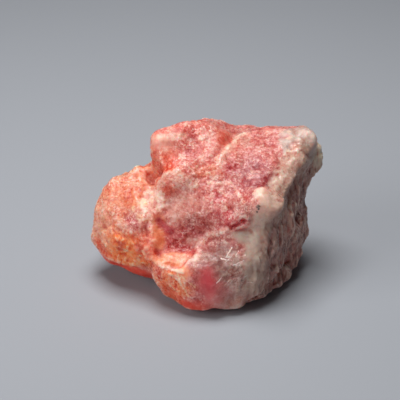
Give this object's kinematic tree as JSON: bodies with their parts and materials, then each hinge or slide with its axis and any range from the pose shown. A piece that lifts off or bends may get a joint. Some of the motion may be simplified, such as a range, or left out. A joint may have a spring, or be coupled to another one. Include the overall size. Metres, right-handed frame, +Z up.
{
  "type": "rough triplite",
  "caption": "Hand-broken lump of salmon-pink triplite with a pale quartz rind, resting on a flat under its body.",
  "frame": {"origin": "middle of the lump's box, on the flat that it rests on", "axes": "+Z up, +X to the right along the longest side, towards the dark broken wall, -Y towards the front with the red blob"},
  "size_m": [0.0468, 0.0346, 0.0319],
  "materials": {
    "triplite": "sugary, finely granular salmon-pink to orange stone with a pale quartz rind and a mauve-brown broken side, faintly translucent, satin with small bright sparkles"
  },
  "bodies": {
    "root": {"triplite_lump": "triplite"}
  },
  "joints": []
}
